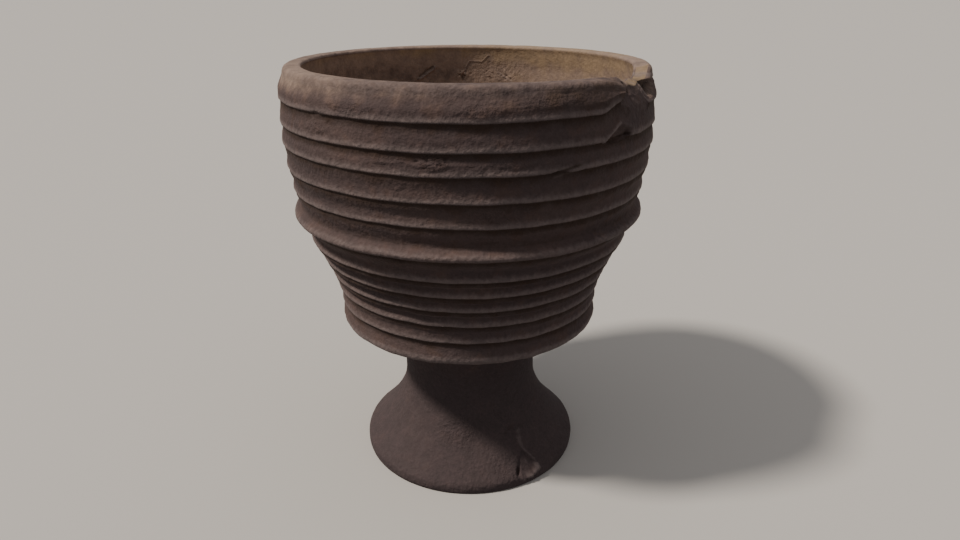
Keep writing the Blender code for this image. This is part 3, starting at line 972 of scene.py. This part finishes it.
@dataclass
class Chalice:
    """The goblet: one piece of clay, thrown and fired, broken at the rim, chipped, pitted and stained."""
    section: TurnedSection = field(default_factory=TurnedSection)
    wear: Wear = Wear()
    # Sectors of the turning, each an end azimuth and its number of steps, finest at the broken rim
    start: float = -100.0
    sectors: tuple[tuple[float, int], ...] = ((34.0, 112), (78.0, 36), (100.0, 14), (260.0, 80))
    merged_within: float = 0.002
    areas: tuple[FineArea, ...] = (
        FineArea((36.0, 66.0), (130.0, 150.1), 2),
        FineArea((66.0, 84.0), (137.5, 150.1), 2),
        FineArea((42.0, 84.0), (145.5, 150.1), 2, (3.2, 8.0)),
        FineArea((170.0, 185.0), (137.0, 147.0), 6, (3.2, 9.0)),
        FineArea((192.0, 205.0), (136.0, 143.0), 5, (3.2, 9.0)),
        FineArea((160.0, 168.0), (135.5, 141.0), 4, (3.2, 9.0)),
        FineArea((22.0, 44.0), (-0.1, 19.5), 2),
        FineArea((-14.0, 0.0), (126.8, 132.0), 2),
        FineArea((1.4, 22.0), (126.8, 132.0), 1),
        FineArea((-6.0, 30.0), (112.0, 117.0), 1),
        FineArea((-32.0, -16.0), (93.0, 99.0), 1),
    )
    # The top lip curls up before the break
    curls: tuple[Curl, ...] = (Curl((36.5, 46.5), 140.8, rise=2.6, flattened=1.0),)
    # Height of the worn and broken rim, on the wall's inner and outer side
    notch_inner: Line = (
        (-180.0, 149.9), (-60.0, 149.9), (10.0, 149.8), (28.0, 149.6), (42.0, 149.4), (49.0, 149.0),
        (52.0, 148.6), (55.0, 147.8), (58.0, 147.1), (63.0, 146.5), (67.0, 146.7), (71.0, 147.4), (76.0, 148.6),
        (81.0, 149.5), (86.0, 149.9), (180.0, 149.9),
    )
    notch_outer: Line = (
        (-180.0, 149.9), (-60.0, 149.9), (10.0, 149.8), (28.0, 149.6), (38.0, 149.3), (43.0, 148.8),
        (47.0, 147.9), (50.0, 147.0), (53.0, 146.3), (57.0, 145.9), (61.0, 145.9), (65.0, 146.2), (69.0, 147.0),
        (71.5, 148.2), (73.5, 149.4), (76.0, 149.9), (180.0, 149.9),
    )
    scars: tuple[Scar, ...] = (
        # Old spall below the notch, which leans in towards the notch's floor
        Scar(((48.3, 153.0), (48.5, 148.3), (48.8, 146.8), (47.6, 145.2), (45.6, 143.9), (44.2, 142.4),
              (43.5, 140.0), (43.4, 137.6), (45.5, 136.4), (49.0, 134.6), (54.0, 133.8), (60.0, 134.8),
              (64.0, 138.5), (68.0, 146.0), (70.0, 153.0)),
             1.9, edge=2.4, rough=0.30, ragged=0.4, old=1.0, smoked=0.3, arris=0.1, lean=0.26),
        # Deeper hollow beside it, with ochre earth in it, painted shade with soil deep in it and a painted
        # highlight round it
        Scar(((60.0, 146.5), (61.5, 143.5), (63.2, 141.4), (65.0, 140.4), (70.0, 140.2), (77.0, 140.7),
              (84.0, 142.5), (86.0, 145.0), (85.0, 146.4), (80.0, 147.2), (74.0, 147.2), (69.0, 147.2),
              (62.0, 150.0)),
             3.8, edge=3.0, rough=0.65, ragged=0.6, old=1.0, arris=0.9, earthy=0.35, painted_dark=0.85),
        # Flake off the second lip
        Scar(((38.0, 132.2), (41.2, 134.5), (44.5, 136.9), (47.5, 136.2), (50.0, 134.8), (50.6, 132.8),
              (48.0, 131.3), (43.0, 131.0), (39.0, 131.2)),
             1.3, edge=0.9, rough=0.14, ragged=0.15, old=0.9, arris=0.1),
        # Chip of the top lip at the left
        Scar(((-44.6, 140.3), (-42.6, 141.4), (-41.2, 140.6), (-41.6, 139.2), (-43.8, 139.0)),
             0.9, edge=0.7, rough=0.10, ragged=0.2),
        # Chip of the foot's edge
        Scar(((29.0, 8.0), (31.8, 10.2), (34.0, 11.4), (36.7, 9.3), (38.7, 7.3), (39.9, 5.6), (38.5, 4.2),
              (34.0, 3.2), (30.0, 2.8), (27.0, 3.0), (25.6, 4.0), (26.0, 5.6), (27.6, 6.8)),
             0.9, edge=1.4, rough=0.34, ragged=0.3, old=1.0, arris=0.1),
    )
    dents: tuple[Dent, ...] = (
        # In the foot's chip: its crevice, with painted shade, and the light lumps along the foot's edge, with
        # painted highlights
        Dent(27.6, 5.4, 2.3, 3.4, 1.2, 34.0, 0.35),
        Dent(38.8, 5.0, 3.0, 3.2, -0.65, 20.0, 0.2),
        Dent(34.4, 3.4, 2.8, 2.4, -0.35, -10.0, 0.1),
        Dent(34.0, 6.6, 3.0, 2.6, -0.30, 20.0, 0.1),
        Dent(29.4, 2.2, 2.8, 1.6, -0.35, -8.0, 0.1),
        Dent(31.4, 2.2, 0.7, 1.8, 0.45, 0.0, 0.2),
        # Knocks on the foot, the lips and the wall, and one inside the rim
        Dent(27.0, 24.5, 1.5, 1.3, 0.5),
        Dent(2.4, 128.8, 1.5, 1.2, 0.6, 20.0),
        Dent(31.6, 138.9, 1.2, 1.6, -0.35, 20.0, 0.2),
        Dent(33.2, 136.8, 1.1, 2.2, -0.30, 20.0, 0.2),
        Dent(-27.0, 137.5, 1.4, 1.0, 0.4),
        Dent(-14.0, 105.5, 5.0, 2.4, 0.25, 0.0, 0.2),
        Dent(-177.0, 137.6, 2.6, 1.8, 0.45, side=Side.INSIDE),
    )
    grooves: tuple[Groove, ...] = (
        # Cleft in the spall, and the sharp edge between the spall and the hollow
        Groove(((51.4, 147.4), (52.2, 146.0), (52.8, 144.4)), 0.4, 0.5, shown=0.8),
        Groove(((61.6, 147.6), (62.2, 145.6), (62.8, 143.4), (63.8, 142.3)), 0.50, -0.50),
        # Edge of the second lip's flake, with a painted highlight, the painted shade under it, and a fold of the
        # lip above
        Groove(((38.0, 132.6), (41.2, 134.8), (44.5, 137.2)), 0.5, -0.35),
        Groove(((41.0, 131.9), (45.0, 132.5), (49.5, 133.3)), 1.0, 0.4, shown=0.7),
        Groove(((45.0, 136.6), (48.5, 135.6), (52.0, 134.4), (56.0, 133.4)), 1.1, -0.45, shown=0.4),
        Groove(((23.6, 125.8), (27.0, 126.5), (30.5, 127.2)), 0.6, 0.6, burr=0.35),
        # Round the foot's chip
        Groove(((26.6, 17.0), (29.4, 17.8), (32.4, 18.1), (36.5, 18.0), (40.1, 17.5)), 1.1, 0.40, shown=0.25),
        Groove(((36.0, 16.8), (34.8, 13.8), (34.2, 11.6)), 1.2, -0.50, shown=0.5),
        Groove(((34.0, 11.6), (36.7, 9.5), (38.9, 7.3), (39.9, 5.4)), 0.45, -0.30, shown=0.6),
        Groove(((32.2, 2.9), (34.6, 3.0), (36.8, 3.8), (39.4, 4.6)), 1.0, -0.60, shown=0.85),
        Groove(((28.0, 6.2), (29.8, 7.2), (30.6, 8.4), (29.8, 9.8), (28.4, 10.6)), 0.50, 0.40, shown=0.35),
        Groove(((35.9, 2.0), (35.4, 3.4), (35.2, 4.6)), 0.45, 0.45, shown=0.3),
        Groove(((33.0, 1.8), (33.2, 3.0), (33.0, 4.0)), 0.40, 0.35, shown=0.3),
        # Cracks and a gouge inside the rim
        Groove(((-164.0, 141.2), (-161.0, 139.4), (-158.4, 137.6)), 0.50, 0.6, 0.90, 0.4, Side.INSIDE),
        Groove(((-178.3, 138.6), (-178.6, 140.7), (-179.2, 141.9), (-180.0, 143.1), (176.6, 143.0),
                (175.0, 142.8), (173.1, 144.5), (172.2, 145.4)), 0.28, 0.20, 0.12, 0.1, Side.INSIDE),
        Groove(((162.5, 136.4), (165.0, 137.9), (168.0, 139.8)), 0.4, 0.15, 0.10, 0.2, Side.INSIDE),
    )
    patches: tuple[PitPatch, ...] = (
        PitPatch(-7.5, 129.4, 9.0, 3.4, 60, 1.2, 0.40, 3, 0.55),
        PitPatch(-20.0, 130.2, 12.0, 2.6, 22, 1.2, 0.25, 17, 0.4),
        PitPatch(13.0, 129.4, 12.0, 3.0, 18, 1.2, 0.30, 12, 0.45),
        PitPatch(70.0, 143.6, 12.0, 5.0, 24, 1.6, 0.45, 16, 0.5),
        PitPatch(9.0, 114.2, 26.0, 4.0, 56, 1.4, 0.36, 4, 0.45),
        PitPatch(6.0, 107.0, 10.0, 3.0, 10, 1.2, 0.35, 5),
        PitPatch(-24.0, 96.6, 16.0, 5.0, 24, 1.3, 0.40, 6, 0.4),
        PitPatch(4.0, 143.6, 16.0, 4.0, 26, 1.3, 0.32, 8, 0.45),
        PitPatch(22.0, 145.6, 20.0, 3.4, 34, 1.2, 0.32, 13, 0.45),
        PitPatch(-30.0, 143.6, 16.0, 4.0, 12, 1.1, 0.28, 7),
        PitPatch(-42.0, 136.5, 10.0, 3.0, 10, 1.1, 0.30, 14),
        PitPatch(-176.0, 138.2, 7.0, 2.6, 22, 1.3, 0.45, 9, 0.3, Side.INSIDE),
        PitPatch(168.0, 140.0, 26.0, 9.0, 22, 1.3, 0.30, 15, 0.4, Side.INSIDE),
        PitPatch(-9.0, 19.0, 18.0, 9.0, 46, 1.9, 0.34, 10, 0.5),
        PitPatch(20.0, 8.0, 12.0, 9.0, 14, 1.3, 0.22, 11, 0.5),
    )

    def turn(self) -> bpy.types.Object:
        """Turn the section about the axis: draw it point by point, spin it in sectors and close the seam.

        Returns:
            The chalice as it leaves the wheel, before any wear.
        """
        deselect()
        rows = self.section.rows()
        turn = math.radians(self.start)
        across = Vector((math.sin(turn), -math.cos(turn), 0.0))
        bpy.ops.mesh.primitive_plane_add(size=MM)
        piece = bpy.context.object
        piece.name = "chalice_body"
        piece.data.name = "chalice_body"
        bpy.ops.object.mode_set(mode="EDIT")
        form = bmesh.from_edit_mesh(piece.data)
        form.verts.ensure_lookup_table()
        bmesh.ops.delete(form, geom=form.verts[1:], context="VERTS")
        form.verts.ensure_lookup_table()
        form.verts[0].co = (across * rows[0].radius + Vector((0.0, 0.0, rows[0].height))) * MM
        form.verts[0].select = True
        bmesh.update_edit_mesh(piece.data)
        for last, row in zip(rows, rows[1:]):
            move = (across * (row.radius - last.radius) + Vector((0.0, 0.0, row.height - last.height))) * MM
            bpy.ops.mesh.extrude_region_move(TRANSFORM_OT_translate={"value": move})
        bpy.ops.mesh.select_all(action="SELECT")
        azimuth = self.start
        for end, steps in self.sectors:
            angle = math.radians(end - azimuth)
            bpy.ops.mesh.spin(steps=steps, angle=angle, center=(0, 0, 0), axis=(0, 0, 1), dupli=False)
            azimuth = end
        bpy.ops.mesh.select_all(action="SELECT")
        bpy.ops.mesh.remove_doubles(threshold=self.merged_within * MM)
        bpy.ops.mesh.normals_make_consistent(inside=False)
        bpy.ops.object.mode_set(mode="OBJECT")
        return piece

    def refine(self, piece: bpy.types.Object) -> None:
        """Divide the surface more finely where its small marks are, areas with as many cuts together.

        Args:
            piece: The turned chalice.
        """
        heights, radii = self.section.skin()
        bpy.ops.object.mode_set(mode="EDIT")
        bpy.ops.mesh.select_mode(type="FACE")
        for cuts in dict.fromkeys(area.cuts for area in self.areas):
            alike = [area for area in self.areas if area.cuts == cuts]
            bpy.ops.mesh.select_all(action="DESELECT")
            form = bmesh.from_edit_mesh(piece.data)
            for face in form.faces:
                place = face.calc_center_median() / MM
                azimuth = math.degrees(math.atan2(place.x, -place.y))
                depth = float(np.interp(place.z, heights, radii)) - math.hypot(place.x, place.y)
                face.select = any(area.covers(azimuth, place.z, depth) for area in alike)
            form.select_flush_mode()
            bmesh.update_edit_mesh(piece.data)
            bpy.ops.mesh.subdivide(number_cuts=cuts)
        bpy.ops.object.mode_set(mode="OBJECT")

    def weather(self, piece: bpy.types.Object) -> None:
        """Give the turned piece its hand-made wobble, its breaks and its wear, and mark them for the finish.

        Args:
            piece: The turned and refined chalice.
        """
        mesh = piece.data
        flat = np.empty(len(mesh.vertices) * 3)
        mesh.vertices.foreach_get("co", flat)
        surface = Surface(self.section, self.wear, flat.reshape(-1, 3) / MM)
        surface.wobble()
        for curl in self.curls:
            surface.curl(curl)
        surface.break_rim(self.notch_inner, self.notch_outer)
        for scar in self.scars:
            surface.scar(scar)
        for dent in self.dents:
            surface.dent(dent)
        for groove in self.grooves:
            surface.groove(groove)
        for patch in self.patches:
            surface.pit(patch)
        surface.roughen()
        surface.stain()
        mesh.vertices.foreach_set("co", (surface.points() * MM).ravel())
        for name, values in surface.marks.items():
            layer = mesh.attributes.new(name, "FLOAT", "POINT")
            layer.data.foreach_set("value", np.clip(values, 0.0, 1.0))
        mesh.update()

    def build(self, finish: "FiredClay") -> bpy.types.Object:
        """Make the whole piece and dress it.

        Args:
            finish: The clay's finish.

        Returns:
            The finished piece.
        """
        piece = self.turn()
        self.refine(piece)
        self.weather(piece)
        deselect()
        piece.select_set(True)
        bpy.context.view_layer.objects.active = piece
        bpy.ops.object.shade_smooth()
        piece.data.materials.clear()
        piece.data.materials.append(finish.material())
        return piece


@dataclass(frozen=True)
class Pattern:
    """Mottling: how wide its spots are in millimetres, its detail, and whether it is drawn downwards."""
    name: str
    size: float
    detail: float
    rough: float = 0.55
    drawn_down: bool = False


@dataclass(frozen=True)
class Swing:
    """A value that swings smoothly from start to end as a pattern or a mark rises from low to high."""
    by: str
    low: float
    high: float
    start: float
    end: float


class Rise(Enum):
    """How a value comes in between two limits."""
    SMOOTH = "SMOOTHSTEP"
    EVEN = "LINEAR"


@dataclass(frozen=True)
class Coat:
    """A colour that lies over those before it where a pattern or a mark rises from low to high.

    Share is how much of it shows there, or the mark that says so. A pattern can make its edge ragged.
    """
    name: str
    colour: str
    by: str
    low: float
    high: float
    share: float | str = 1.0
    ragged_by: str = "mottle"
    ragged: float = 0.0
    rise: Rise = Rise.SMOOTH


# Fired in an open fire and buried: dull and grainy, with warm and purplish patches; paler on rubbed lips, with a
# painted highlight; dark with soil and painted shade in grooves and pits; ochre on rim and inside, partly
# painted light
@dataclass(frozen=True)
class FiredClay:
    """Coarse earthenware, thrown on the wheel."""
    base: str = "#554746"
    patterns: tuple[Pattern, ...] = (
        # Clouds that the fire left, the clay's blotches, its pimpled skin, its scuffs and its wiping streaks
        Pattern("clouds", 26.0, 2.0),
        Pattern("mottle", 5.0, 3.0),
        Pattern("peel", 1.5, 2.0, 0.5),
        Pattern("scuffs", 1.3, 4.0, 0.6),
        Pattern("streaks", 1.1, 1.0, 0.5, True),
        # Real grit is finer than 0.5 mm, and is drawn this coarse so that it shows
        Pattern("grain", 0.7, 2.0, 0.6),
    )
    streak_squeeze: float = 0.16
    coats: tuple[Coat, ...] = (
        Coat("body", "#5D4D4A", "clouds", 0.38, 0.60),
        Coat("warm", "#634D44", "mottle", 0.48, 0.74, 0.40),
        Coat("smoke", "#544849", "smoked", 0.0, 1.0, 0.8, rise=Rise.EVEN),
        Coat("fracture", "#776359", "peel", 0.25, 0.60, "broken"),
        # Ochre earth in two strengths, partly painted light inside, high up, and on the rim at the back
        Coat("ochre", "#9C8678", "stained", 0.05, 0.75, 1.0, "mottle", 0.5),
        Coat("bright_ochre", "#A48C6F", "stained", 0.70, 1.05, 0.85, "mottle", 0.5),
        # Paler where worn, partly a painted highlight on lips, arrises, burrs and lumps
        Coat("rubbed", "#8A7B78", "worn_and_highlight", 0.12, 0.95, 0.60, "peel", 0.5),
        # Darker for soil and painted shade: under lips, in grooves, under the bowl and at the front right
        Coat("soil_and_painted_shade", "#33241A", "hollow", 0.05, 0.90, 0.78, "mottle", 1.0),
        # Darker in pits for soil and painted shade
        Coat("pit_soil_and_painted_shade", "#33241A", "pitted", 0.05, 0.90, 0.50),
    )
    # How much lighter or darker the clay's grain makes it, and how much darker smoke does
    tones: tuple[Swing, ...] = (
        Swing("grain", 0.30, 0.70, 0.93, 1.07), Swing("peel", 0.30, 0.70, 0.94, 1.06),
        Swing("mottle", 0.30, 0.70, 0.90, 1.10), Swing("smoked", 0.0, 1.0, 1.0, 0.88),
    )
    # The clay is dull all over, and as much smoother as this where it is rubbed
    roughness: Swing = Swing("mottle", 0.30, 0.70, 0.85, 0.95)
    polished: float = 0.16
    # Heights in millimetres of the skin's pimples, grain, streaks and blotches, and of the scuffs
    relief: tuple[tuple[str, float], ...] = (
        ("peel", 0.42), ("grain", 0.11), ("streaks", 0.05), ("mottle", 0.20), ("scuffing", 0.90),
    )
    # The stained inside and the rim's right have kept a smoother skin
    smoother: Swing = Swing("stained", 0.30, 0.80, 1.0, 0.5)
    ior: float = 1.5
    specular: float = 0.35

    def material(self) -> bpy.types.Material:
        """Make the clay: its patterns and marks, the coats of colour that they lay, its sheen and its relief.

        Returns:
            The material.
        """
        clay = bpy.data.materials.new("fired_clay_earthenware")
        clay.use_nodes = True
        tree = clay.node_tree
        tree.nodes.clear()
        place = add_node(tree, "ShaderNodeTexCoord").outputs["Object"]
        squeeze = {"Vector": place, "Scale": (1.0, 1.0, self.streak_squeeze)}
        drawn_down = add_node(tree, "ShaderNodeMapping", squeeze).outputs[0]
        seen = {}
        for name in MARKS:
            seen[name] = add_node(tree, "ShaderNodeAttribute", attribute_name=name).outputs["Fac"]
        for pattern in self.patterns:
            look = {"Vector": drawn_down if pattern.drawn_down else place, "Scale": 1.0 / (pattern.size * MM),
                    "Detail": pattern.detail, "Roughness": pattern.rough}
            seen[pattern.name] = add_node(tree, "ShaderNodeTexNoise", look).outputs["Fac"]
        swung = []
        for swing in (*self.tones, self.roughness, self.smoother):
            limits = {"Value": seen[swing.by], "From Min": swing.low, "From Max": swing.high,
                      "To Min": swing.start, "To Max": swing.end}
            node = add_node(tree, "ShaderNodeMapRange", limits, interpolation_type=Rise.SMOOTH.value)
            swung.append(node.outputs["Result"])
        *tones, dull, smoother = swung

        colour = linear(self.base)
        shown = {}
        for coat in self.coats:
            value = seen[coat.by]
            if coat.ragged:
                parts = {0: seen[coat.ragged_by], 1: coat.ragged, 2: value}
                value = add_node(tree, "ShaderNodeMath", parts, operation="MULTIPLY_ADD").outputs[0]
            mean = coat.ragged / 2
            limits = {"Value": value, "From Min": coat.low + mean, "From Max": coat.high + mean,
                      "To Max": seen.get(coat.share, coat.share)}
            node = add_node(tree, "ShaderNodeMapRange", limits, interpolation_type=coat.rise.value)
            shown[coat.name] = node.outputs["Result"]
            layers = {0: shown[coat.name], 6: colour, 7: linear(coat.colour)}
            colour = add_node(tree, "ShaderNodeMix", layers, data_type="RGBA").outputs[2]
        for tone in tones:
            colour = add_node(tree, "ShaderNodeVectorMath", {0: colour, 3: tone}, operation="SCALE").outputs[0]

        rubbed = next(coat for coat in self.coats if coat.name == "rubbed")
        parts = {0: shown["rubbed"], 1: -self.polished / rubbed.share, 2: dull}
        roughness = add_node(tree, "ShaderNodeMath", parts, operation="MULTIPLY_ADD").outputs[0]
        parts = {0: seen["scuffs"], 1: seen["scuffed"]}
        seen["scuffing"] = add_node(tree, "ShaderNodeMath", parts, operation="MULTIPLY").outputs[0]
        height = 0.0
        for name, rise in self.relief:
            parts = {0: seen[name], 1: rise, 2: height}
            height = add_node(tree, "ShaderNodeMath", parts, operation="MULTIPLY_ADD").outputs[0]
        height = add_node(tree, "ShaderNodeMath", {0: height, 1: smoother}, operation="MULTIPLY").outputs[0]
        relief = {"Height": height, "Strength": 1.0, "Distance": MM}
        bump = add_node(tree, "ShaderNodeBump", relief).outputs["Normal"]
        shader = add_node(tree, "ShaderNodeBsdfPrincipled", {
            "Base Color": colour, "Roughness": roughness, "Normal": bump, "Metallic": 0.0, "IOR": self.ior,
            "Specular IOR Level": self.specular})
        add_node(tree, "ShaderNodeOutputMaterial", {"Surface": shader.outputs[0]})
        return clay


# Rolled out under the piece: even, pale and without any shine
@dataclass(frozen=True)
class MattPaper:
    """Thick matt paper, as it comes off a roll."""
    colour: str = "#D0CCC7"
    roughness: float = 0.95

    def material(self) -> bpy.types.Material:
        """Make the paper.

        Returns:
            The material.
        """
        paper = bpy.data.materials.new("matt_paper_floor")
        paper.use_nodes = True
        shader = paper.node_tree.nodes["Principled BSDF"]
        shader.inputs["Base Color"].default_value = linear(self.colour)
        shader.inputs["Roughness"].default_value = self.roughness
        return paper


@dataclass
class Studio:
    """The pale floor, the soft light and the camera that stands where the photograph was taken from.

    Sizes and places are in metres here, the sensor in millimetres and the picture and focal length in pixels.
    """
    paper: MattPaper = MattPaper()
    floor_side: float = 30.0
    camera_place: tuple[float, float, float] = (0.00417, -0.2431, 0.1749)
    camera_tilt: float = 67.09
    nearest_seen: float = 0.01
    focal_pixels: float = 685.5
    picture_width: float = 960.0
    sensor: float = 36.0
    key_direction: tuple[float, float, float] = (-0.586, -0.164, 0.794)
    key_strength: float = 2.8
    key_softness: float = 7.0
    key_colour: str = "#FFF6EA"
    sky_colour: str = "#EEECEC"
    low_sky: float = 0.20
    high_sky: float = 0.52

    def build_floor(self) -> bpy.types.Object:
        """Lay the floor, which isn't part of the object and throws no light up at it.

        Returns:
            The floor.
        """
        deselect()
        bpy.ops.mesh.primitive_plane_add(size=self.floor_side, location=(0.0, 0.0, 0.0))
        floor = bpy.context.object
        floor.name = "floor"
        floor.visible_diffuse = False
        floor.data.materials.append(self.paper.material())
        return floor

    def build_light(self) -> None:
        """Set one key light at the upper left, and a dim sky that is brighter overhead."""
        lamp = bpy.data.lights.new("key_light", "SUN")
        lamp.energy = self.key_strength
        lamp.angle = math.radians(self.key_softness)
        lamp.color = linear(self.key_colour)[:3]
        key = bpy.data.objects.new("key_light", lamp)
        key.rotation_euler = Vector(self.key_direction).to_track_quat("Z", "Y").to_euler()
        bpy.context.scene.collection.objects.link(key)
        world = bpy.data.worlds.new("studio")
        world.use_nodes = True
        tree = world.node_tree
        towards = add_node(tree, "ShaderNodeTexCoord").outputs["Generated"]
        up = add_node(tree, "ShaderNodeSeparateXYZ", {0: towards}).outputs["Z"]
        limits = {"Value": up, "To Min": self.low_sky, "To Max": self.high_sky}
        rise = add_node(tree, "ShaderNodeMapRange", limits).outputs["Result"]
        sky = tree.nodes["Background"]
        sky.inputs["Color"].default_value = linear(self.sky_colour)
        tree.links.new(rise, sky.inputs["Strength"])
        bpy.context.scene.world = world

    def build_camera(self) -> None:
        """Stand the camera at the photograph's place and angle."""
        lens = bpy.data.cameras.new("camera")
        lens.sensor_width = self.sensor
        lens.lens = self.sensor * self.focal_pixels / self.picture_width
        lens.clip_start = self.nearest_seen
        camera = bpy.data.objects.new("camera", lens)
        camera.location = self.camera_place
        camera.rotation_euler = (math.radians(self.camera_tilt), 0.0, 0.0)
        bpy.context.scene.collection.objects.link(camera)
        bpy.context.scene.camera = camera


def main() -> None:
    """Build the studio and the chalice in it."""
    logging.basicConfig(level=logging.INFO, format="%(name)s: %(message)s")
    studio = Studio()
    studio.build_camera()
    studio.build_light()
    studio.build_floor()
    piece = Chalice().build(FiredClay())
    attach(piece, "root")
    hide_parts("chalice")
    piece.data.calc_loop_triangles()
    log.info("%s: %d triangles", piece.name, len(piece.data.loop_triangles))


if __name__ == "__main__":
    main()
